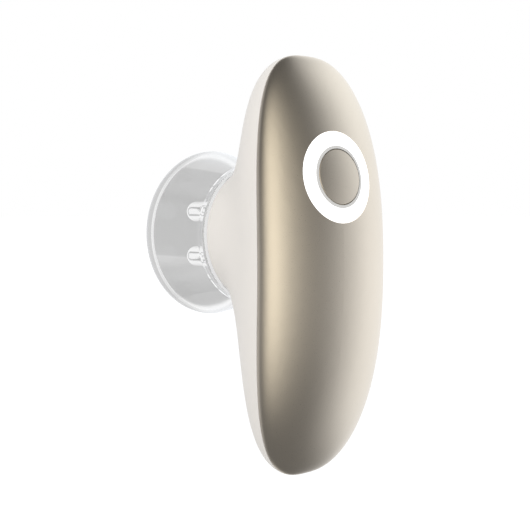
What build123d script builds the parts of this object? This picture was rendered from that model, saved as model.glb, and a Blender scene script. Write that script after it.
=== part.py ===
from build123d import *
import os
from math import atan, cos, pi, radians, sin

os.makedirs("parts", exist_ok=True)

# Hand-held facial toning device, all sizes in millimetres.
# +Z runs up the handle, -Y is the side with the power button, +Y the side with the
# treatment head.  The origin is the middle of the handle, on the seam of the two shells.

# ---------------------------------------------------------------- driving dimensions
# Handle outline seen from the front: half_width = HALF_WIDTH * (1 - t^power)^(1/root)
HALF_HEIGHT = 65.0
HALF_WIDTH = 25.8
TOP_POWER, TOP_ROOT = 2.92, 2.69
BOTTOM_POWER, BOTTOM_ROOT = 2.89, 2.60
BOW = 0.0017                      # the seam bows back as BOW * z^2
DOME_DEPTH = 9.78                 # front shell ahead of the seam
DOME_POWER, DOME_ROOT = 3.15, 1.50
SECTION_POWER, SECTION_ROOT = 2.0, 2.1      # cross section of the front shell, nearly an ellipse
SPINE = 39.0                      # half length of the line on which the dome's ribs meet
DOME_END = 12.0                   # the dome's side walls run straight back to this plane or past it
TIP_CROWDING = 1.35               # the skins' ribs stand closer together towards the two tips
WALL = 2.0
SEAM_GAP = 0.3
LIP_INSET, LIP_REACH, LIP_PLAY = 1.0, 1.6, 0.1

# Neck and treatment head, turned about the line x = 0, z = NECK_Z.  Heights in the head are
# measured from the flat end of the neck.
NECK_Z = 9.85
NECK_END = 28.2
NECK_RADIUS = 22.3
NECK_START = -6.0                 # the rear shell's straight walls start at this plane
SIDE_REACH, TIP_REACH = 9.1, 16.5           # how far the skin leaves the seam straight
SIDE_HOLD, TIP_HOLD = 17.4, 12.8            # how far the skin follows the neck's slope
NECK_SLOPE = 30.5                 # slope of the neck above and below, none at the sides
LEDGE = (-3.6, -2.2)              # ledge that carries the gasket
BULKHEAD = (-9.7, -8.2)
HEAD_PLATE_RADIUS = 20.1
COLLAR_RADIUS = 21.6

POST_COUNT = 6
POST_RING = 14.4
POST_RADIUS = 3.2
POST_TIP = 20.7
POST_SEAT = 4.1                   # plane of the pads that the posts stand on

CAP_MOUTH = 0.3
CAP_FLARE = 3.9                   # the cap's straight mouth reaches this far, then it flares
CAP_RADIUS = 28.25
CAP_END = 26.8
CAP_WALL = 1.3

# Power button, turned about a line square to the dome
BUTTON_Z = 27.7
RING_RADIUS = 13.86
RING_HOLE = 9.5
BUTTON_RADIUS = 8.4
RING_SEAT = -4.1                  # flat seat inside the front shell for the light ring's flange
RING_BACK = -4.85
TRIM_BACK = -3.8
TRIM_RAISE = 0.2                  # the trim stands this far out of the dome
BUTTON_FLANGE = (-4.65, -3.85)
SWITCH_FACE = -6.22
LED_BOARD = (-8.0, -7.0)
LED_BOARD_RADIUS = 15.3
LED_RING = 11.8
SCREW_RING = 17.6

# Inside
FRAME_Y = (5.6, 7.0)
FRAME_INSET = 4.8                 # from the handle's outline
BOARD_Y = (9.0, 10.2)
BOARD_Z = (-42.0, 44.0)
BOARD_HALF_WIDTH = 14.5
BATTERY = (23.0, 5.6, 46.0)
BATTERY_CENTRE = (0.0, 1.6, -21.0)
PORT_Y = 10.2                     # middle of the charging socket, behind the seam
PORT_SIZE = (8.94, 3.26)
PORT_Z = (-63.3, -56.0)
CHARGE_BOARD_Y = (PORT_Y - 2.65, PORT_Y - 1.65)
FIT = 0.05                        # play between fixed pieces
TOUCH = 0.02                      # between a board and what is soldered on it


# ---------------------------------------------------------------- helpers
def save(node, shape):
    shape.label = node
    export_step(shape, f"parts/{node}.step")


def blend(start, end, share):
    return start + (end - start) * share


def block(x, y, z):
    """Box from three (low, high) pairs."""
    size = [high - low for low, high in (x, y, z)]
    middle = [(high + low) / 2 for low, high in (x, y, z)]
    return Pos(*middle) * Box(*size)


def rounded_block(x, y, z, radius, axis=Axis.Y):
    shape = block(x, y, z)
    return fillet(shape.edges().filter_by(axis), radius)


def lathe(profile, place, rounds=()):
    """Turned piece: profile lists (radius, height) corners, rounds lists (corner, radius)."""
    outline = make_face(Polyline(*profile, close=True))
    for corner, radius in rounds:
        x, y = profile[corner]
        vertex = outline.vertices().sort_by_distance((x, y, 0))[0]
        outline = fillet(vertex, radius)
    return place * revolve(Plane.XZ * outline, Axis.Z)


def ring(inner, outer, heights, place):
    low, high = heights
    return lathe([(inner, low), (outer, low), (outer, high), (inner, high)], place)


def disc(radius, heights, place, x=0.0, y=0.0):
    low, high = heights
    bottom = (Align.CENTER, Align.CENTER, Align.MIN)
    return place * Pos(x, y, low) * Cylinder(radius, high - low, align=bottom)


def around(radius, count, first=0.0):
    """Points on a circle in a turned piece's own plane."""
    angles = [radians(first + 360 * index / count) for index in range(count)]
    return [(radius * cos(angle), radius * sin(angle)) for angle in angles]


def group(pieces):
    """One node of several separate solids."""
    return Compound(children=[piece.solid() for piece in pieces])


def screw(head_radius, head, shank_radius, shank, place, x, y):
    """Pan head screw with a cross recess, along the place's own Z axis."""
    body = disc(head_radius, head, place, x, y) + disc(shank_radius, shank, place, x, y)
    outer_face = head[0] if sum(shank) > sum(head) else head[1]
    slot, reach = 0.5, head_radius * 1.2
    for across, along in ((slot, reach), (reach, slot)):
        body -= place * Pos(x, y, outer_face) * Box(across, along, 0.9)
    return body


def strip(route, bend, width, thickness, x=0.0):
    """Flat flexible cable: route lists (y, z) points, width runs along X."""
    line = FilletPolyline(*route, radius=bend)
    flat = trace(line, line_width=thickness)
    return Pos(x - width / 2, 0, 0) * extrude(Plane.YZ * flat, width)


def wire(route, bend, radius):
    line = FilletPolyline(*route, radius=bend)
    start = Plane(origin=line @ 0, z_dir=line % 0)
    return sweep(start * Circle(radius), path=line)


# ---------------------------------------------------------------- the skin of the handle
def half_width(z, inset=0.0):
    share = min(1.0, abs(z) / (HALF_HEIGHT - inset))
    power, root = (TOP_POWER, TOP_ROOT) if z > 0 else (BOTTOM_POWER, BOTTOM_ROOT)
    return (HALF_WIDTH - inset) * (1 - share ** power) ** (1 / root)


def dome_depth(z, inset=0.0):
    share = min(1.0, abs(z) / (HALF_HEIGHT - inset))
    return (DOME_DEPTH - inset) * (1 - share ** DOME_POWER) ** (1 / DOME_ROOT)


def seam_y(z):
    return BOW * z * z


def dome_y(x, z, inset=0.0):
    """Height of the dome's skin over a point of the front view."""
    width = half_width(z, inset)
    side = min(1.0, abs(x) / width) if width > 1e-9 else 0.0
    return seam_y(z) - dome_depth(z, inset) * (1 - side ** SECTION_POWER) ** (1 / SECTION_ROOT)


def dome_rib(angle, inset, count=19, straight=4):
    """One line of the dome's skin, from the straight side wall to the spine."""
    height = HALF_HEIGHT - inset
    z_edge = height * sin(angle)
    x_edge = -half_width(z_edge, inset)
    z_spine = SPINE * sin(angle)
    points = []
    for index in range(straight):
        points.append((x_edge, blend(DOME_END + inset, seam_y(z_edge), index / straight), z_edge))
    for index in range(count):
        step = index / (count - 1)
        turn = pi / 2 * (3 * step ** 2 - 2 * step ** 3)
        out = 0.0 if index == count - 1 else cos(turn) ** (2 / SECTION_POWER)
        x = x_edge * out
        z = blend(z_spine, z_edge, out)
        points.append((x, dome_y(x, z, inset), z))
    return points


def rear_rib(angle, inset, count=17, straight=4):
    """One line of the rear skin, from the seam back and up to the neck's end."""
    height = HALF_HEIGHT - inset
    tip = sin(angle) ** 2
    slope = radians(NECK_SLOPE * tip)
    shift = 1.33 * inset              # keeps the wall even where the skin turns into the neck
    z_seam = height * sin(angle)
    radial = Vector(-cos(angle), 0, sin(angle))
    seam = Vector(-half_width(z_seam, inset), seam_y(z_seam), z_seam)
    rim = Vector(0, NECK_END, NECK_Z) + radial * (NECK_RADIUS - inset)
    leave = seam + Vector(0, blend(SIDE_REACH, TIP_REACH, tip) - shift, 0)
    hold = blend(SIDE_HOLD, TIP_HOLD, tip)
    arrive = rim + radial * (hold * sin(slope)) - Vector(0, hold * cos(slope) + shift, 0)
    points = []
    for index in range(straight):
        points.append(Vector(seam.X, blend(NECK_START, seam.Y, index / straight), seam.Z))
    for index in range(count):
        far = index / (count - 1)
        near = 1 - far
        first = seam * near ** 3 + leave * (3 * far * near ** 2)
        points.append(first + arrive * (3 * far ** 2 * near) + rim * far ** 3)
    return points


def flat_edge(face, y):
    for edge in face.edges():
        box = edge.bounding_box()
        if abs(box.min.Y - y) < 1e-3 and abs(box.max.Y - y) < 1e-3:
            return edge


def mirrored_volume(rib, inset, ends, rows=49):
    """Closed solid from the ribs of its -X half and the flat ends of its skin."""
    ribs = []
    for row in range(rows):
        share = 2 * row / (rows - 1) - 1
        angle = pi / 2 * (1 - (1 - abs(share)) ** TIP_CROWDING)
        ribs.append(rib(angle if share > 0 else -angle, inset))
    left = Face.make_surface_from_array_of_points(ribs, tol=0.004, min_deg=3, max_deg=3)
    right = left.mirror(Plane.YZ)
    caps = [Face(Wire([flat_edge(left, y), flat_edge(right, y)])) for y in ends]
    return Solid(Shell([left, right] + caps))


def dome_volume(inset=0.0):
    return mirrored_volume(dome_rib, inset, (DOME_END + inset,))


def rear_volume(inset=0.0):
    return mirrored_volume(rear_rib, inset, (NECK_START, NECK_END))


def behind_seam(shift=0.0):
    """Everything behind the bowed seam surface, moved back by shift."""
    reach = 80.0
    edge_y = seam_y(reach) + shift
    curve = Edge.make_bezier((0, edge_y, -reach), (0, 2 * shift - edge_y, 0), (0, edge_y, reach))
    back = Polyline((0, edge_y, reach), (0, reach, reach), (0, reach, -reach), (0, edge_y, -reach))
    side = Face(Wire([curve] + back.edges()))
    return Pos(-40, 0, 0) * Solid.extrude(side, Vector(80, 0, 0))


def plan_plate(inset, y, z):
    """Flat plate with the handle's outline, drawn in by inset, cut off at two heights."""
    count = 36
    height = HALF_HEIGHT - inset
    points = []
    for index in range(count):
        angle = 2 * pi * index / count
        level = height * sin(angle)
        side = 1 if cos(angle) > 0 else -1
        points.append((side * half_width(level, inset), y[0], level))
    outline = Face(Wire([Edge.make_spline([Vector(*point) for point in points], periodic=True)]))
    plate = Solid.extrude(outline, Vector(0, y[1] - y[0], 0))
    return plate & block((-HALF_WIDTH, HALF_WIDTH), y, z)


# ---------------------------------------------------------------- places
HEAD = Plane(origin=(0, NECK_END, NECK_Z), x_dir=(1, 0, 0), z_dir=(0, 1, 0))
LEAN = atan(dome_y(0, BUTTON_Z + 0.5) - dome_y(0, BUTTON_Z - 0.5))
BUTTON_ORIGIN = (0, dome_y(0, BUTTON_Z), BUTTON_Z)
BUTTON_AXIS = (0, -cos(LEAN), sin(LEAN))
BUTTON = Plane(origin=BUTTON_ORIGIN, x_dir=(1, 0, 0), z_dir=BUTTON_AXIS)
POSTS = around(POST_RING, POST_COUNT, 30)
HEAD_SCREWS = around(15.0, 3)
BUTTON_SCREWS = around(SCREW_RING, 2, -90)
FRAME_SCREWS = [(x, z) for z, x_place in ((50, 9), (-2, 17.3), (-50, 9.6)) for x in (-x_place, x_place)]
BOARD_SCREWS = [(x, z) for z in (-38, 40) for x in (-12, 12)]
PORT_SCREWS = [(-4.8, -51), (4.8, -51)]


def along_y(x, z):
    """Plane at a point of the front view, whose Z axis runs back along Y."""
    return Plane(origin=(x, 0, z), x_dir=(1, 0, 0), z_dir=(0, 1, 0))


# ---------------------------------------------------------------- casing
outer_dome = dome_volume()
inner_dome = dome_volume(WALL)
outer_rear = rear_volume()
inner_rear = rear_volume(WALL)


def front_shell():
    shell = (outer_dome - inner_dome) - behind_seam(-SEAM_GAP / 2)
    lip = dome_volume(LIP_INSET + LIP_PLAY) - inner_dome
    shell += lip & (behind_seam(-1.0) - behind_seam(LIP_REACH))
    for x, z in FRAME_SCREWS:
        shell += disc(2.6, (-12, FRAME_Y[0] - FIT), along_y(x, z)) & outer_dome
    for x, y in BUTTON_SCREWS:
        shell += disc(2.2, (LED_BOARD[1] + 2 + FIT, 0), BUTTON, x, y) & outer_dome
    shell += disc(RING_RADIUS + 2.3, (RING_SEAT, 0), BUTTON) & outer_dome
    shell -= disc(RING_RADIUS + FIT, (-6, 4), BUTTON)
    for x, z in FRAME_SCREWS:
        depth = dome_y(x, z) + 3.2
        shell -= disc(1.0, (depth, 8), along_y(x, z))
    for x, y in BUTTON_SCREWS:
        shell -= disc(1.0, (-8, -3.0), BUTTON, x, y)
    return shell - port_slot()


def port_slot():
    """Rounded opening for the charging socket at the bottom end."""
    play = 0.2
    width, depth = PORT_SIZE[0] / 2 + play, PORT_SIZE[1] / 2 + play
    front_to_back = (PORT_Y - depth, PORT_Y + depth)
    return rounded_block((-width, width), front_to_back, (-70, PORT_Z[1]), depth - 0.05, Axis.Z)


def rear_shell():
    shell = (outer_rear - inner_rear) & behind_seam(SEAM_GAP / 2)
    shell -= dome_volume(LIP_INSET) - behind_seam(LIP_REACH + LIP_PLAY)
    shell += ring(18.4, NECK_RADIUS - 1, LEDGE, HEAD)
    shell += (disc(40.0, BULKHEAD, HEAD) & rear_volume(1.0)) - disc(9.0, (-16, -6), HEAD)
    for x, y in HEAD_SCREWS:
        shell -= disc(1.1, (-16, -6), HEAD, x, y)
    for x, z in PORT_SCREWS:
        shell += disc(1.8, (CHARGE_BOARD_Y[1] + FIT, 30), along_y(x, z)) & outer_rear
        shell -= disc(0.9, (CHARGE_BOARD_Y[1], CHARGE_BOARD_Y[1] + 5.0), along_y(x, z))
    return shell - port_slot()


# ---------------------------------------------------------------- button and light ring
def light_ring():
    leg = ring(RING_HOLE, RING_RADIUS, (RING_BACK, 3), BUTTON) & outer_dome
    return leg + ring(12.0, 15.2, (RING_BACK, RING_SEAT - FIT), BUTTON)


def button_trim():
    band = ring(BUTTON_RADIUS + 0.15, RING_HOLE - FIT, (TRIM_BACK, 3), BUTTON)
    return band & dome_volume(-TRIM_RAISE)


def power_button():
    """Slightly domed cap with a retaining flange and a stem over the switch."""
    crown, edge, roof = 0.2, -0.3, -1.3
    low, high = BUTTON_FLANGE
    top = ThreePointArc((0, crown), (BUTTON_RADIUS / 2, blend(crown, edge, 0.25)), (BUTTON_RADIUS, edge))
    rest = Polyline((BUTTON_RADIUS, edge), (BUTTON_RADIUS, high), (9.2, high), (9.2, low), (7.0, low),
                    (7.0, roof - 0.4), (1.6, roof), (1.6, -5.0), (0, -5.0), (0, crown))
    outline = make_face(Wire(top.edges() + rest.edges()))
    corner = outline.vertices().sort_by_distance((BUTTON_RADIUS, edge, 0))[0]
    return BUTTON * revolve(Plane.XZ * fillet(corner, 0.3), Axis.Z)


def button_pad():
    """Rubber foot between the button's stem and the switch."""
    return lathe([(0, -5.64), (1.5, -5.64), (2.0, -5.0), (0, -5.0)], BUTTON)


def switch_plunger():
    """Plunger that runs in the switch's bore."""
    return lathe([(0, -6.4), (1.2, -6.4), (1.2, -5.65), (0, -5.65)], BUTTON, [(2, 0.15)])


def tact_switch():
    floor = LED_BOARD[1] + TOUCH
    body = BUTTON * Pos(0, 0, (floor + SWITCH_FACE) / 2) * Box(5.2, 5.2, SWITCH_FACE - floor)
    for x in (-3.0, 3.0):
        for y in (-1.8, 1.8):
            body += BUTTON * Pos(x, y, floor + 0.12) * Box(1.2, 0.7, 0.24)
    return body - disc(1.25, (floor + 0.05, SWITCH_FACE + 1), BUTTON)


def clock(count, first=0.0):
    """Turns about the button's axis, evenly spaced."""
    return [BUTTON * Rot(0, 0, first + 360 * index / count) for index in range(count)]


def lug(turn, low, high):
    """Screw lug that stands out from the rim of the LED board or its reflector."""
    root = turn * block((LED_BOARD_RADIUS - 1, SCREW_RING), (-2.3, 2.3), (low, high))
    return root + disc(2.3, (low, high), turn, SCREW_RING)


def ring_reflector():
    """Two walls round the LEDs, held together by spokes, with the screw lugs."""
    floor, top = LED_BOARD[1] + TOUCH, RING_BACK - FIT
    body = ring(13.0, LED_BOARD_RADIUS, (floor, top), BUTTON)
    body += ring(9.9, 10.6, (floor, top), BUTTON)
    for turn in clock(8, 22.5):
        body += turn * Pos(LED_RING, 0, floor + 1.6) * Box(2.8, 0.8, 0.8)
    for turn in clock(2, -90):
        body += lug(turn, floor, LED_BOARD[1] + 2)
    for x, y in BUTTON_SCREWS:
        body -= disc(1.1, (floor - 1, floor + 3), BUTTON, x, y)
    return body


def led_board():
    low, high = LED_BOARD
    board = disc(LED_BOARD_RADIUS, LED_BOARD, BUTTON)
    for turn in clock(2, -90):
        board += lug(turn, low, high)
    for x, y in BUTTON_SCREWS:
        board -= disc(1.1, (low - 1, high + 1), BUTTON, x, y)
    return board


def ring_leds():
    low = LED_BOARD[1] + TOUCH
    return group([turn * Pos(LED_RING, 0, low + 0.45) * Box(1.2, 2.0, 0.9) for turn in clock(8)])


def button_screws():
    floor = LED_BOARD[0] - TOUCH
    return group([screw(1.8, (floor - 0.9, floor), 0.95, (floor, -3.6), BUTTON, x, y)
                  for x, y in BUTTON_SCREWS])


# ---------------------------------------------------------------- inner frame, boards, battery
def inner_frame():
    frame = plan_plate(FRAME_INSET, FRAME_Y, (-53, 53))
    frame -= block((-7.4, 7.4), (5, 8), (-54, -46.6))
    width, _, length = BATTERY
    x, z = width / 2 + 0.3, (BATTERY_CENTRE[2] - length / 2 - 0.3, BATTERY_CENTRE[2] + length / 2 + 3.4)
    wall = rounded_block((-x - 0.9, x + 0.9), (1.8, FRAME_Y[0]), (z[0] - 0.9, z[1] + 0.9), 2.0)
    frame += wall - rounded_block((-x, x), (0, FRAME_Y[0] + 1), z, 1.2)
    frame += plan_plate(FRAME_INSET, FRAME_Y, (z[0], z[1])) & block((-x - 1, x + 1), FRAME_Y, z)
    for z_window in ((8.4, 13.0), (38.4, 43.4)):
        frame -= rounded_block((-8, 8), (5, 8), z_window, 1.0)
    frame -= rounded_block((-7, 7), (5, 8), (18, 33), 3.0)
    for x, z in BOARD_SCREWS:
        frame += disc(2.3, (FRAME_Y[1], BOARD_Y[0] - FIT), along_y(x, z))
        frame -= disc(0.9, (FRAME_Y[0] - 1, BOARD_Y[0] + 1), along_y(x, z))
    for x, z in FRAME_SCREWS:
        frame -= disc(1.1, (5, 8), along_y(x, z))
    return frame


def frame_screws():
    screws = []
    for x, z in FRAME_SCREWS:
        depth = dome_y(x, z) + 4.0
        screws.append(screw(2.0, (FRAME_Y[1] + FIT, FRAME_Y[1] + 1.2), 0.95,
                            (depth, FRAME_Y[1] + FIT), along_y(x, z), 0, 0))
    return group(screws)


def battery():
    x, y, z = BATTERY_CENTRE
    cell = Pos(x, y, z) * Box(*BATTERY)
    cell = fillet(cell.edges().filter_by(Axis.Z), 2.4)
    return fillet(cell.edges(), 0.5)


def battery_board():
    top = BATTERY_CENTRE[2] + BATTERY[2] / 2
    return block((-9, 9), (0.2, 1.2), (top + FIT, top + 2.9))


def battery_pads():
    back = BATTERY_CENTRE[1] + BATTERY[1] / 2
    return group([block((-9, 9), (back + FIT, FRAME_Y[0] - FIT), (z, z + 8)) for z in (-38, -12)])


def main_board():
    board = rounded_block((-BOARD_HALF_WIDTH, BOARD_HALF_WIDTH), BOARD_Y, BOARD_Z, 4.0)
    for x, z in BOARD_SCREWS:
        board -= disc(1.1, (8, 12), along_y(x, z))
    return board


def board_screws():
    head = (BOARD_Y[1] + FIT, BOARD_Y[1] + 1.2)
    return group([screw(1.8, head, 0.85, (FRAME_Y[0] + 0.1, head[0]), along_y(x, z), 0, 0)
                  for x, z in BOARD_SCREWS])


def on_board(x, z, height, side=1):
    """Box on the main board: rear side for 1, front side for -1."""
    low = BOARD_Y[1] + TOUCH if side > 0 else BOARD_Y[0] - TOUCH - height
    return block(x, (low, low + height), z)


def control_chip():
    chip = on_board((-3.5, 3.5), (-23.5, -16.5), 0.9)
    return chamfer(chip.faces().sort_by(Axis.Y)[-1].edges(), 0.15)


def power_parts():
    """Inductor and voltage regulator of the charging and supply circuit."""
    coil = fillet(on_board((-10.5, -5.0), (-33.5, -28.0), 2.8).edges().filter_by(Axis.Y), 1.2)
    regulator = on_board((5.0, 10.0), (-33.0, -28.0), 1.5)
    return group([coil, regulator])


def pulse_transformer():
    core = on_board((-5.0, 5.0), (4.5, 14.5), 5.2)
    core = fillet(core.edges().filter_by(Axis.Y), 0.8)
    for x in (-5.0, 5.0):
        core -= block((x - 1.2, x + 1.2), (BOARD_Y[1] + 1.2, BOARD_Y[1] + 4.2), (6.0, 13.0))
    return core


def transformer_windings():
    y = (BOARD_Y[1] + 1.3, BOARD_Y[1] + 4.1)
    return group([block(x, y, (6.1, 12.9)) for x in ((-5.4, -3.85), (3.85, 5.4))])


def storage_capacitors():
    low, high = BOARD_Y[1] + TOUCH, BOARD_Y[1] + 4.6
    profile = [(0, low), (2.5, low), (2.5, high), (0, high)]
    return group([lathe(profile, along_y(x, 4.0), [(2, 0.4)]) for x in (-10.5, 10.5)])


def buzzer():
    low = BOARD_Y[1] + TOUCH
    profile = [(0.8, low + 1.0), (0.8, low + 2.2), (4.5, low + 2.2), (4.5, low), (0, low), (0, low + 1.0)]
    return lathe(profile, along_y(0, 35.5), [(2, 0.3)])


def board_connectors():
    front = [on_board((2.5, 9.5), (14.0, 17.5), 1.5, -1), on_board((-5, 5), (34.0, 37.0), 1.5, -1)]
    front.append(on_board((-4, 4), (-41.0, -38.5), 1.5, -1))
    return group(front + [on_board((-5, 5), (20.5, 23.5), 1.5)])


# ---------------------------------------------------------------- charging socket
def charge_board():
    front, back = CHARGE_BOARD_Y
    board = rounded_block((-6.6, 6.6), CHARGE_BOARD_Y, (-61, -48), 1.0)
    for x, z in PORT_SCREWS:
        board -= disc(1.0, (front - 1, back + 1), along_y(x, z))
    return board


def charge_screws():
    face = CHARGE_BOARD_Y[0] - TOUCH
    return group([screw(1.5, (face - 1.1, face), 0.85, (face, face + 5.2), along_y(x, z), 0, 0)
                  for x, z in PORT_SCREWS])


def charge_socket():
    width, depth = PORT_SIZE[0] / 2, PORT_SIZE[1] / 2
    y = (PORT_Y - depth, PORT_Y + depth)
    shell = rounded_block((-width, width), y, PORT_Z, depth - 0.05, Axis.Z)
    skin = 0.3
    y = (y[0] + skin, y[1] - skin)
    cavity = (PORT_Z[0] - 1, PORT_Z[1] - 0.6)
    width -= skin
    return shell - rounded_block((-width, width), y, cavity, depth - skin - 0.05, Axis.Z)


def socket_tongue():
    root = block((-3.6, 3.6), (PORT_Y - 1.1, PORT_Y + 1.1), (PORT_Z[1] - 2.2, PORT_Z[1] - 0.65))
    return root + block((-3.3, 3.3), (PORT_Y - 0.35, PORT_Y + 0.35), (PORT_Z[0] + 0.8, PORT_Z[1] - 2.0))


# ---------------------------------------------------------------- leads
def ring_cable():
    """Flexible cable from the LED board to the main board."""
    back = [BUTTON.from_local_coords(Vector(0, *point)) for point in ((7.5, -8.7), (13.5, -9.0))]
    route = [(point.Y, point.Z) for point in back]
    level = route[1][1]
    return strip(route + [(8.25, level), (8.25, 37.1)], 1.4, 8.0, 0.2)


def ring_cable_socket():
    return BUTTON * Pos(0, 6.0, LED_BOARD[0] - TOUCH - 0.6) * Box(9.0, 2.8, 1.2)


def electrode_cable():
    """Flexible cable from the main board to the board behind the posts."""
    return strip([(11.0, 20.4), (11.0, 16.6), (NECK_END - 4.9, 16.6)], 1.6, 7.0, 0.2)


def charge_cable():
    return block((-2, 2), (8.7, 8.9), (-49.4, -41.1))


def charge_cable_socket():
    low = CHARGE_BOARD_Y[1] + TOUCH
    return block((-2.6, 2.6), (low, low + 1.35), (-51.9, -49.5))


def battery_leads():
    """Two leads from the battery's board, through the frame, to the main board."""
    return group([wire([(x, 0.7, 4.95), (x, 0.7, 10.7), (x, 8.2, 10.7), (x, 8.2, 13.95)], 1.5, 0.55)
                  for x in (5.0, 7.0)])


# ---------------------------------------------------------------- treatment head
def head_plate():
    edge, centre, back = 3.1, 3.9, -1.2
    top = ThreePointArc((0, centre), (10.0, centre - 0.2), (19.6, edge))
    rest = Polyline((19.6, edge), (HEAD_PLATE_RADIUS, edge - 0.5), (HEAD_PLATE_RADIUS, back), (0, back),
                    (0, centre))
    plate = HEAD * revolve(Plane.XZ * make_face(Wire(top.edges() + rest.edges())), Axis.Z)
    for x, y in POSTS:
        pad = [(0, -0.2), (4.6, -0.2), (4.6, 3.2), (4.1, POST_SEAT), (0, POST_SEAT)]
        plate += lathe(pad, HEAD * Pos(x, y, 0))
        plate += disc(3.4, (-2.35, -0.2), HEAD, x, y)
    for x, y in HEAD_SCREWS:
        plate += disc(2.3, (BULKHEAD[1] + FIT, -0.2), HEAD, x, y)
    for x, y in POSTS:
        plate -= disc(2.0, (-6, 14), HEAD, x, y)
    for x, y in HEAD_SCREWS:
        plate -= disc(1.0, (-16, 0.8), HEAD, x, y)
    return plate


def head_collar():
    low, high = 0.1, 3.0
    inner = HEAD_PLATE_RADIUS + FIT
    profile = [(inner, low), (COLLAR_RADIUS, low), (COLLAR_RADIUS, high), (inner, high)]
    return lathe(profile, HEAD, [(2, 0.5)])


def electrode_post(x, y):
    """Round-ended contact post with a stepped foot and a threaded stem."""
    shoulder = POST_TIP - POST_RADIUS
    tip = ThreePointArc((0, POST_TIP), (POST_RADIUS * sin(pi / 4), shoulder + POST_RADIUS * cos(pi / 4)),
                        (POST_RADIUS, shoulder))
    rest = Polyline((POST_RADIUS, shoulder), (POST_RADIUS, POST_SEAT + 0.9), (3.5, POST_SEAT + 0.6),
                    (3.5, POST_SEAT + FIT), (1.95, POST_SEAT + FIT), (1.95, -1.7), (1.5, -2.0), (1.5, -6.6),
                    (0, -6.6), (0, POST_TIP))
    outline = make_face(Wire(tip.edges() + rest.edges()))
    return HEAD * Pos(x, y, 0) * revolve(Plane.XZ * outline, Axis.Z)


def post_nuts():
    nuts = []
    for x, y in POSTS:
        blank = HEAD * Pos(x, y, -5.5) * extrude(RegularPolygon(2.9, 6), 2.0)
        nuts.append(blank - disc(1.55, (-6, -3), HEAD, x, y))
    return group(nuts)


def electrode_board():
    board = disc(17.9, (-3.4, -2.4), HEAD) - disc(2.5, (-6, 0), HEAD)
    for x, y in POSTS:
        board -= disc(1.6, (-6, 0), HEAD, x, y)
    for x, y in HEAD_SCREWS:
        board -= disc(2.45, (-6, 0), HEAD, x, y)
    return board


def electrode_cable_socket():
    return block((-4.5, 4.5), (NECK_END - 4.85, NECK_END - 3.42), (15.3, 17.9))


def head_gasket():
    low, high = LEDGE[1] + FIT, -1.25
    profile = [(18.6, low), (20.0, low), (20.0, high), (18.6, high)]
    return lathe(profile, HEAD, [(0, 0.3), (1, 0.3), (2, 0.3), (3, 0.3)])


def head_screws():
    head = (BULKHEAD[0] - 1.1, BULKHEAD[0] - FIT)
    return group([screw(1.9, head, 0.95, (head[1], -2.2), HEAD, x, y) for x, y in HEAD_SCREWS])


def clear_cap():
    inner = COLLAR_RADIUS + FIT
    outer = inner + CAP_WALL
    profile = [(inner, CAP_MOUTH), (outer, CAP_MOUTH), (outer, CAP_FLARE), (CAP_RADIUS + 0.3, CAP_END),
               (0, CAP_END), (0, CAP_END - 1.5), (CAP_RADIUS + 0.1 - CAP_WALL, CAP_END - 1.5),
               (inner, CAP_FLARE)]
    return lathe(profile, HEAD, [(3, 2.6), (6, 2.6), (1, 0.5), (0, 0.4)])


# ---------------------------------------------------------------- write every node
NODES = {
    "front_shell": front_shell,
    "rear_shell": rear_shell,
    "light_ring": light_ring,
    "button_trim": button_trim,
    "power_button": power_button,
    "button_pad": button_pad,
    "switch_plunger": switch_plunger,
    "tact_switch": tact_switch,
    "ring_reflector": ring_reflector,
    "led_board": led_board,
    "ring_leds": ring_leds,
    "button_screws": button_screws,
    "inner_frame": inner_frame,
    "frame_screws": frame_screws,
    "battery": battery,
    "battery_board": battery_board,
    "battery_pads": battery_pads,
    "battery_leads": battery_leads,
    "main_board": main_board,
    "board_screws": board_screws,
    "control_chip": control_chip,
    "power_parts": power_parts,
    "pulse_transformer": pulse_transformer,
    "transformer_windings": transformer_windings,
    "storage_capacitors": storage_capacitors,
    "buzzer": buzzer,
    "board_connectors": board_connectors,
    "charge_board": charge_board,
    "charge_screws": charge_screws,
    "charge_socket": charge_socket,
    "socket_tongue": socket_tongue,
    "charge_cable": charge_cable,
    "charge_cable_socket": charge_cable_socket,
    "ring_cable": ring_cable,
    "ring_cable_socket": ring_cable_socket,
    "electrode_cable": electrode_cable,
    "electrode_cable_socket": electrode_cable_socket,
    "electrode_board": electrode_board,
    "post_nuts": post_nuts,
    "head_plate": head_plate,
    "head_collar": head_collar,
    "head_gasket": head_gasket,
    "head_screws": head_screws,
    "clear_cap": clear_cap,
}

for node, make in NODES.items():
    save(node, make())
for number, (x, y) in enumerate(POSTS, 1):
    save(f"electrode_post_{number}", electrode_post(x, y))
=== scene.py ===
from math import cos, pi, radians, sin

import bpy
from mathutils import Matrix, Vector


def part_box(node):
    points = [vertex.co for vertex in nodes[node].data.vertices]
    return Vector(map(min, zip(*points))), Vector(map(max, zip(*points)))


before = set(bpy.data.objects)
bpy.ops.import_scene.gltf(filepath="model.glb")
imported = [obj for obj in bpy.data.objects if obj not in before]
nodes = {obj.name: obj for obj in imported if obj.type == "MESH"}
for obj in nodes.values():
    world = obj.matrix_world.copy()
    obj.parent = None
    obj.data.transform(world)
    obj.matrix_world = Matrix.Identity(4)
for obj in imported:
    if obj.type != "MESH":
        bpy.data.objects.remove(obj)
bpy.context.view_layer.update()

# ---------------------------------------------------------------- node helpers
# Nearly all of a noise lies between these two values.
NOISE_LOW, NOISE_HIGH = 0.3, 0.7


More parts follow.
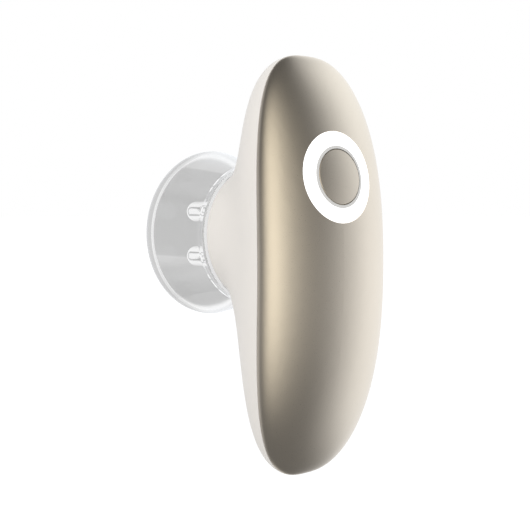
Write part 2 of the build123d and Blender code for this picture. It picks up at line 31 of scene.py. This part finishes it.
class Tree:
    """Small builder for one material's or world's node tree."""

    def __init__(self, tree):
        self.tree = tree
        self.tree.nodes.clear()

    def add(self, kind, inputs=None, **settings):
        node = self.tree.nodes.new(kind)
        for key, value in settings.items():
            setattr(node, key, value)
        for key, value in (inputs or {}).items():
            self.put(node.inputs[key], value)
        return node

    def put(self, socket, value):
        if isinstance(value, bpy.types.NodeSocket):
            self.tree.links.new(value, socket)
        else:
            socket.default_value = value

    def math(self, operation, *values):
        node = self.add("ShaderNodeMath", operation=operation)
        for socket, value in zip(node.inputs, values):
            self.put(socket, value)
        return node.outputs[0]

    def mix(self, factor, first, second, blend_type="MIX"):
        inputs = {"Factor": factor, "A": first, "B": second}
        return self.add("ShaderNodeMix", inputs, data_type="RGBA", blend_type=blend_type).outputs["Result"]

    def fade(self, value, edge, soft, interpolation_type="LINEAR"):
        """0 below the edge and 1 above it, over soft on either side; a negative soft turns it round."""
        inputs = {"Value": value, "From Min": edge - soft, "From Max": edge + soft}
        return self.add("ShaderNodeMapRange", inputs, interpolation_type=interpolation_type).outputs[0]

    def band(self, angle, low, high, soft):
        """1 between two angles in degrees, fading to 0 over soft degrees on either side of each."""
        return self.math("SUBTRACT", *[self.fade(angle, edge, soft, "SMOOTHSTEP") for edge in (low, high)])

    def noise(self, vector, scale, detail=3.0, roughness=0.5):
        inputs = {"Vector": vector, "Scale": scale, "Detail": detail, "Roughness": roughness}
        return self.add("ShaderNodeTexNoise", inputs).outputs["Fac"]

    def ramp(self, factor, stops, interpolation="LINEAR"):
        node = self.add("ShaderNodeValToRGB", {"Fac": factor})
        scale = node.color_ramp
        scale.interpolation = interpolation
        while len(scale.elements) < len(stops):
            scale.elements.new(0.5)
        for element, (position, color) in zip(scale.elements, stops):
            element.position = position
            element.color = color
        return node.outputs["Color"]

    def vary(self, noise, low, high):
        """One colour where the noise is low and another where it is high."""
        return self.ramp(noise, [(NOISE_LOW, low), (NOISE_HIGH, high)])


def grey(level):
    return (level, level, level, 1.0)


def tinted(color, factor):
    return (*[min(1.0, channel * factor) for channel in color], 1.0)


def new_material(name):
    """An empty material, its tree, and the place of each point in the part's own frame."""
    made = bpy.data.materials.new(name)
    made.use_nodes = True
    tree = Tree(made.node_tree)
    return made, tree, tree.add("ShaderNodeTexCoord").outputs["Object"]


# ---------------------------------------------------------------- grained surfaces
BROAD_GRAIN = 0.06                          # scale of the broad grain against the fine one
FINE_SHARE, BROAD_SHARE = 0.6, 0.4          # what each adds to the tone
SMOOTHEST = 0.02                            # least roughness of a grained surface


def material(name, color, roughness=0.5, metallic=0.0, spread=0.06, grain=900.0, bump=0.05, rough_spread=0.06,
             depth=0.0001, **shader):
    """Procedural surface: colour, roughness and relief vary with a grain of real size."""
    made, tree, place = new_material(name)
    fine = tree.noise(place, grain, 4.0, 0.6)
    broad = tree.noise(place, grain * BROAD_GRAIN, 2.0)
    shares = [tree.math("MULTIPLY", fine, FINE_SHARE), tree.math("MULTIPLY", broad, BROAD_SHARE)]
    tone = tree.vary(tree.math("ADD", *shares), tinted(color, 1 - spread), tinted(color, 1 + spread))
    low, high = max(SMOOTHEST, roughness - rough_spread), min(1.0, roughness + rough_spread)
    rough = tree.vary(fine, grey(low), grey(high))
    relief = tree.add("ShaderNodeBump", {"Strength": bump, "Distance": depth, "Height": fine})
    inputs = {"Base Color": tone, "Roughness": rough, "Metallic": metallic, "Normal": relief.outputs[0]}
    inputs.update({key.replace("_", " "): value for key, value in shader.items()})
    surface = tree.add("ShaderNodeBsdfPrincipled", inputs)
    tree.add("ShaderNodeOutputMaterial", {"Surface": surface.outputs[0]})
    return made


def dress(made, *names):
    for name in names:
        mesh = nodes[name].data
        mesh.materials.clear()
        mesh.materials.append(made)


# ---------------------------------------------------------------- light ring and clear cap
RING_HAZE, RING_GLOW = 900.0, 0.9
RING_TINT, RING_ROUGH = (0.97, 0.98, 1.0, 1.0), (0.35, 0.45)

CAP_HAZE, CAP_IOR = 120.0, 1.49
CAP_CLEAR, CAP_ROUGH = (0.982, 0.992), (0.01, 0.035)
PAINTED_CAUGHT_GLOW = 0.80                         # strength of a painted glow standing in for light caught between the cap's faces

cap_low, cap_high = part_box("clear_cap")
CAP_END_Y = cap_high.y
CAP_RADIUS = (cap_high.x - cap_low.x) / 2
HEAD_AXIS_Z = (cap_high.z + cap_low.z) / 2

# The disc's painted shade ends, and the rim's painted dark outline begins, this far in from the cap's widest
# edge
DISC_INSET, RIM_INSET = 0.00263, 0.00033
DISC_RADIUS, DISC_SOFT = CAP_RADIUS - DISC_INSET, 0.0006
DISC_DEPTH, DEPTH_SOFT = 0.0022, 0.0003     # how deep the disc's painted shade goes from its outer face
DISC_SLANT = 0.08                           # the disc's painted shade bands run this much off level
# Painted shade of the disc, standing in for its reflections and refraction, by height, from its lowest point
# (0) to its highest (1)
PAINTED_DISC_SHADES = [(0.0, 0.43), (0.32, 0.66), (0.335, 0.55), (0.905, 0.55), (0.92, 0.68), (1.0, 0.66)]
RIM_RADIUS, RIM_SOFT = CAP_RADIUS - RIM_INSET, 0.0001
PAINTED_RIM_SHADE = 0.35                            # painted shade: how much darker the rim's outline is painted


def lit_ring():
    """White light guide, lit all over with a faint cool haze."""
    made, tree, place = new_material("light_ring_lit")
    haze = tree.noise(place, RING_HAZE)
    glow = tree.vary(haze, RING_TINT, grey(1.0))
    rough = tree.vary(haze, *[grey(level) for level in RING_ROUGH])
    inputs = {"Base Color": glow, "Roughness": rough, "Emission Color": glow, "Emission Strength": RING_GLOW}
    surface = tree.add("ShaderNodeBsdfPrincipled", inputs)
    tree.add("ShaderNodeOutputMaterial", {"Surface": surface.outputs[0]})
    return made


def clear_plastic():
    """Clear moulded cap: painted shade in bands across its end disc, standing in for its reflections and
    refraction, and a painted dark outline round its widest edge.

    A path's depths are whole numbers: the disc's painted shade is on paths that no surface has mirrored yet,
    and paths that have been mirrored twice get a painted glow.
    """
    made, tree, place = new_material("clear_cap_plastic")
    path = tree.add("ShaderNodeLightPath")
    spot = tree.add("ShaderNodeSeparateXYZ", {"Vector": place})
    rise = tree.math("SUBTRACT", spot.outputs["Z"], HEAD_AXIS_Z)
    squares = [tree.math("POWER", value, 2.0) for value in (spot.outputs["X"], rise)]
    radius = tree.math("SQRT", tree.math("ADD", *squares))
    # painted shade: mask of the end disc, on paths that no surface has mirrored yet
    within = tree.fade(radius, DISC_RADIUS, -DISC_SOFT)
    at_end = tree.fade(spot.outputs["Y"], CAP_END_Y - DISC_DEPTH, DEPTH_SOFT)
    unmirrored = tree.math("LESS_THAN", path.outputs["Glossy Depth"], 0.5)
    disc = tree.math("MULTIPLY", tree.math("MULTIPLY", within, at_end), unmirrored)

    # painted shade in bands across the disc, standing in for its reflections and refraction
    slanted = tree.math("ADD", rise, tree.math("MULTIPLY", spot.outputs["X"], DISC_SLANT))
    height = tree.fade(slanted, 0.0, DISC_RADIUS)
    painted_disc_shade = tree.ramp(height, [(at, grey(shade)) for at, shade in PAINTED_DISC_SHADES])
    haze = tree.noise(place, CAP_HAZE, 2.0)
    clear = tree.vary(haze, *[grey(level) for level in CAP_CLEAR])
    # painted shade: a dark outline painted on the cap's rim, standing in for its refracted edge
    painted_rim_shade = tree.math("MULTIPLY", tree.fade(radius, RIM_RADIUS, RIM_SOFT), PAINTED_RIM_SHADE)
    # the disc's painted shade and the rim's painted dark outline darken the cap's colour
    tone = tree.mix(painted_rim_shade, tree.mix(disc, clear, painted_disc_shade), grey(0.0))
    rough = tree.vary(haze, *[grey(level) for level in CAP_ROUGH])
    inputs = {"Base Color": tone, "Roughness": rough, "IOR": CAP_IOR, "Transmission Weight": 1.0}
    surface = tree.add("ShaderNodeBsdfPrincipled", inputs)

    # painted light: where a path has been mirrored twice, the cap glows in its own colour instead of being
    # lit
    painted_glow_paths = tree.math("GREATER_THAN", path.outputs["Glossy Depth"], 1.5)
    glow = tree.add("ShaderNodeEmission", {"Color": tone, "Strength": PAINTED_CAUGHT_GLOW})
    both = tree.add("ShaderNodeMixShader", {0: painted_glow_paths, 1: surface.outputs[0], 2: glow.outputs[0]})
    tree.add("ShaderNodeOutputMaterial", {"Surface": both.outputs[0]})
    return made


# ---------------------------------------------------------------- materials seen from outside
champagne = material("champagne_coat", (0.80, 0.72, 0.61), 0.30, 1.0, spread=0.015, grain=5200.0, bump=0.04,
                     rough_spread=0.03, depth=0.00002)
off_white = material("off_white_shell", (0.87, 0.83, 0.78), 0.45, spread=0.012, grain=2600.0, bump=0.04,
                     rough_spread=0.04, depth=0.00002, Specular_IOR_Level=0.4)
trim_grey = material("button_trim_grey", (0.62, 0.61, 0.59), 0.35, spread=0.03, grain=3000.0)
head_white = material("head_plate_white", (0.80, 0.79, 0.77), 0.35, spread=0.02, grain=2400.0)
collar_grey = material("collar_grey", (0.78, 0.78, 0.77), 0.4, spread=0.03, grain=2400.0)
chrome = material("post_chrome", (0.97, 0.97, 0.97), 0.09, 1.0, spread=0.02, grain=4000.0, bump=0.02,
                  rough_spread=0.03)
socket_steel = material("socket_steel", (0.62, 0.62, 0.62), 0.3, 1.0, grain=2500.0)

dress(champagne, "front_shell", "power_button")
dress(off_white, "rear_shell")
dress(lit_ring(), "light_ring")
dress(trim_grey, "button_trim")
dress(head_white, "head_plate")
dress(collar_grey, "head_collar")
dress(chrome, *[f"electrode_post_{number}" for number in range(1, 7)])
dress(clear_plastic(), "clear_cap")
dress(socket_steel, "charge_socket")

# ---------------------------------------------------------------- materials inside the casing
screw_steel = material("screw_steel", (0.58, 0.58, 0.57), 0.32, 1.0, grain=3000.0)
brass = material("nut_brass", (0.78, 0.60, 0.30), 0.3, 1.0, grain=3000.0)
copper = material("winding_copper", (0.72, 0.36, 0.18), 0.35, 1.0, grain=3000.0, bump=0.2)
solder_mask = material("board_green", (0.02, 0.15, 0.07), 0.4, spread=0.2, grain=1600.0)
dark_plastic = material("dark_plastic", (0.025, 0.025, 0.028), 0.5, spread=0.2, grain=2200.0)
ferrite = material("ferrite", (0.07, 0.07, 0.075), 0.7, spread=0.2, grain=2600.0, bump=0.2)
ivory = material("connector_ivory", (0.78, 0.74, 0.62), 0.4, grain=2200.0)
polyimide = material("flex_cable", (0.48, 0.21, 0.03), 0.35, spread=0.12, grain=1200.0)
frame_plastic = material("frame_plastic", (0.55, 0.55, 0.55), 0.5, grain=2200.0)
reflector_white = material("reflector_white", (0.82, 0.82, 0.82), 0.5, spread=0.03, grain=2200.0)
pouch_foil = material("battery_foil", (0.70, 0.71, 0.73), 0.38, 0.8, grain=1400.0, bump=0.2)
foam = material("foam", (0.05, 0.05, 0.05), 0.9, spread=0.2, grain=2600.0, bump=0.5)
rubber = material("grey_rubber", (0.22, 0.22, 0.22), 0.7, grain=2600.0, bump=0.2)
red_wire = material("lead_red", (0.50, 0.03, 0.02), 0.45, grain=2600.0)
can_metal = material("can_metal", (0.66, 0.66, 0.67), 0.25, 1.0, grain=2600.0)
led_resin = material("led_resin", (0.92, 0.88, 0.55), 0.3, grain=2600.0)

dress(screw_steel, "button_screws", "frame_screws", "board_screws", "charge_screws", "head_screws",
      "tact_switch")
dress(brass, "post_nuts")
dress(copper, "transformer_windings")
dress(solder_mask, "led_board", "battery_board", "main_board", "charge_board", "electrode_board")
dress(dark_plastic, "switch_plunger", "control_chip", "power_parts", "buzzer", "socket_tongue")
dress(ferrite, "pulse_transformer")
dress(ivory, "board_connectors", "charge_cable_socket", "ring_cable_socket", "electrode_cable_socket")
dress(polyimide, "charge_cable", "ring_cable", "electrode_cable")
dress(frame_plastic, "inner_frame")
dress(reflector_white, "ring_reflector")
dress(pouch_foil, "battery")
dress(foam, "battery_pads")
dress(rubber, "button_pad", "head_gasket")
dress(red_wire, "battery_leads")
dress(can_metal, "storage_capacitors")
dress(led_resin, "ring_leds")

# ---------------------------------------------------------------- camera
CAMERA_TURN, CAMERA_LIFT = radians(41.25), radians(3.331)
CAMERA_PLACE = (-0.017218, 0.000981, 0.304815)      # from the origin, along the camera's right, up and back
PICTURE_PIXELS, FOCAL_PIXELS = 530.0, 997.1         # width of the picture and focal length, in its pixels
SENSOR_WIDTH = 36.0
CLIP_NEAR, CLIP_FAR = 0.01, 50.0


def place_camera():
    level = cos(CAMERA_LIFT)
    back = Vector((-sin(CAMERA_TURN) * level, -cos(CAMERA_TURN) * level, sin(CAMERA_LIFT)))
    right = Vector((cos(CAMERA_TURN), -sin(CAMERA_TURN), 0.0))
    turned = Matrix((right, back.cross(right), back)).transposed()
    camera = bpy.data.objects.new("camera", bpy.data.cameras.new("camera"))
    bpy.context.scene.collection.objects.link(camera)
    camera.matrix_world = Matrix.Translation(turned @ Vector(CAMERA_PLACE)) @ turned.to_4x4()
    camera.data.sensor_width = SENSOR_WIDTH
    camera.data.lens = SENSOR_WIDTH * FOCAL_PIXELS / PICTURE_PIXELS
    camera.data.clip_start = CLIP_NEAR
    camera.data.clip_end = CLIP_FAR
    bpy.context.scene.camera = camera


# ---------------------------------------------------------------- studio
KEY_TURN = radians(35)                      # from straight in front of the button towards -X
KEY_DISTANCE, KEY_HEIGHT = 0.9, 0.35
KEY_SIZE, KEY_POWER = (0.6, 0.8), 3.0

FLOOR_Z, FLOOR_REACH = -0.125, 12.0
FLOOR_SHADE, FLOOR_GLOW = 0.75, 0.45

# Light on matt surfaces: from overhead and below, and from the horizon
OVERHEAD, HORIZON = grey(0.72), grey(1.04)
OVERHEAD_FROM, HORIZON_TO = 0.9, 0.1        # in sines of the angle from level

# What metal mirrors, in degrees: a dim room, and light added to it by bands of turn (from straight in front
# of the button towards -X) and of lift over level. A row holds the colour, (turn from, turn to, softness),
# (lift from, lift to, softness), and the turn added at a lift of ARCH_LIFT.
ROOM = 0.105
ARCH_LIFT = 40.0
MIRRORED_LIGHTS = [
    ((1.38, 1.32, 1.15), (13, 59, 46), (-27, 44, 24), 0),               # warm softbox in front
    ((0.83, 0.86, 0.90), (-260, -49, 21), (-39, 51, 13), 8),            # white wall, +X side and behind
    ((0.19, 0.20, 0.20), (-260, -49, 21), (13, 49, 13), 8),             # its brighter upper half
    ((0.92, 0.94, 0.98), (136, 260, 36), (-40, 45, 25), 0),             # white wall, behind on the -X side
    ((0.60, 0.60, 0.60), (-260, -128, 14), (-66, -34, 12), 0),          # pale floor, behind on the +X side
    ((0.12, 0.12, 0.12), (-400, 400, 1), (-17, 10, 14), 0),             # haze at eye level, all round
    ((0.06, 0.06, 0.06), (-400, 400, 1), (-42, -6, 18), 0),             # floor, all round
    ((0.06, 0.06, 0.06), (-400, 400, 1), (-120, -40, 20), 0),           # floor, right below
]

# What the posts mirror inside the clear cap, in degrees: white, less a wall over a band of turn on the +X
# side, and less a frame over a band of angles off the direction FRAME_AIM
WALL_GREY, WALL = 0.4, (-150, -30, 35)
FRAME_GREY, FRAME_AIM, FRAME = 0.65, (-0.906, 0.423, 0.0), (37, 46, 5)


def key_softbox():
    """One broad lamp, not mirrored in metal."""
    lamp = bpy.data.lights.new("key_softbox", "AREA")
    lamp.shape = "RECTANGLE"
    lamp.size, lamp.size_y = KEY_SIZE
    lamp.energy = KEY_POWER
    made = bpy.data.objects.new("key_softbox", lamp)
    bpy.context.scene.collection.objects.link(made)
    made.location = (-sin(KEY_TURN) * KEY_DISTANCE, -cos(KEY_TURN) * KEY_DISTANCE, KEY_HEIGHT)
    made.rotation_euler = (-made.location).to_track_quat("-Z", "Y").to_euler()
    made.visible_glossy = False


def degrees_of(tree, angle):
    return tree.math("MULTIPLY", angle, 180 / pi)


def metal_studio(tree, turn, lift):
    """The dim room with every mirrored light added to it."""
    studio = grey(ROOM)
    arch = tree.math("POWER", tree.math("DIVIDE", lift, ARCH_LIFT), 2.0)
    for color, turns, lifts, bend in MIRRORED_LIGHTS:
        bent = tree.math("ADD", turn, tree.math("MULTIPLY", arch, bend))
        share = tree.math("MULTIPLY", tree.band(bent, *turns), tree.band(lift, *lifts))
        studio = tree.mix(share, studio, (*color, 1.0), "ADD")
    return studio


def cap_studio(tree, direction, turn):
    """White, less the wall and the frame."""
    aim = tree.add("ShaderNodeVectorMath", {0: direction, 1: FRAME_AIM}, operation="DOT_PRODUCT")
    aside = degrees_of(tree, tree.math("ARCCOSINE", aim.outputs["Value"]))
    framed = tree.math("MULTIPLY", tree.band(aside, *FRAME), FRAME_GREY)
    walled = tree.math("MULTIPLY", tree.band(turn, *WALL), WALL_GREY)
    return tree.math("SUBTRACT", tree.math("SUBTRACT", 1.0, framed), walled)


def studio_world():
    """White to the camera and through the clear cap, soft light on matt surfaces, a studio in metal."""
    world = bpy.data.worlds.new("studio")
    bpy.context.scene.world = world
    world.use_nodes = True
    tree = Tree(world.node_tree)
    path = tree.add("ShaderNodeLightPath")
    direction = tree.add("ShaderNodeTexCoord").outputs["Generated"]
    way = tree.add("ShaderNodeSeparateXYZ", {"Vector": direction})
    sideways, forward = [tree.math("MULTIPLY", way.outputs[axis], -1.0) for axis in ("X", "Y")]
    turn = degrees_of(tree, tree.math("ARCTAN2", sideways, forward))
    lift = degrees_of(tree, tree.math("ARCSINE", way.outputs["Z"]))

    level = tree.math("ABSOLUTE", way.outputs["Z"])
    ambient = tree.ramp(level, [(HORIZON_TO, HORIZON), (OVERHEAD_FROM, OVERHEAD)], "EASE")
    mirrored = tree.math("GREATER_THAN", path.outputs["Glossy Depth"], 0.5)
    in_metal = tree.math("MAXIMUM", path.outputs["Is Glossy Ray"], mirrored)
    lit = tree.mix(in_metal, ambient, metal_studio(tree, turn, lift))

    straight = tree.math("LESS_THAN", path.outputs["Glossy Depth"], 0.5)
    white = tree.math("MAXIMUM", straight, cap_studio(tree, direction, turn))
    through_cap = tree.math("GREATER_THAN", path.outputs["Transmission Depth"], 0.5)
    seen = tree.math("MAXIMUM", path.outputs["Is Camera Ray"], through_cap)
    light = tree.add("ShaderNodeBackground", {"Color": tree.mix(seen, lit, white), "Strength": 1.0})
    tree.add("ShaderNodeOutputWorld", {"Surface": light.outputs[0]})


def floor():
    """Wide pale floor, low enough for the part to float over it. Metal and the clear cap show the world."""
    mesh = bpy.data.meshes.new("floor")
    signs = [(-1, -1), (1, -1), (1, 1), (-1, 1)]
    mesh.from_pydata([(x * FLOOR_REACH, y * FLOOR_REACH, FLOOR_Z) for x, y in signs], [], [(0, 1, 2, 3)])
    made = bpy.data.objects.new("floor", mesh)
    bpy.context.scene.collection.objects.link(made)
    paint = bpy.data.materials.new("floor_white")
    paint.use_nodes = True
    tree = Tree(paint.node_tree)
    seen = tree.add("ShaderNodeLightPath").outputs["Is Camera Ray"]
    matt = tree.add("ShaderNodeBsdfDiffuse", {"Color": grey(FLOOR_SHADE)})
    strength = tree.math("MULTIPLY", seen, FLOOR_GLOW)
    glow = tree.add("ShaderNodeEmission", {"Color": grey(1.0), "Strength": strength})
    both = tree.add("ShaderNodeAddShader", {0: matt.outputs[0], 1: glow.outputs[0]})
    tree.add("ShaderNodeOutputMaterial", {"Surface": both.outputs[0]})
    mesh.materials.append(paint)
    made.visible_glossy = False
    made.visible_transmission = False


place_camera()
key_softbox()
studio_world()
floor()
bpy.context.scene.view_settings.view_transform = "Standard"
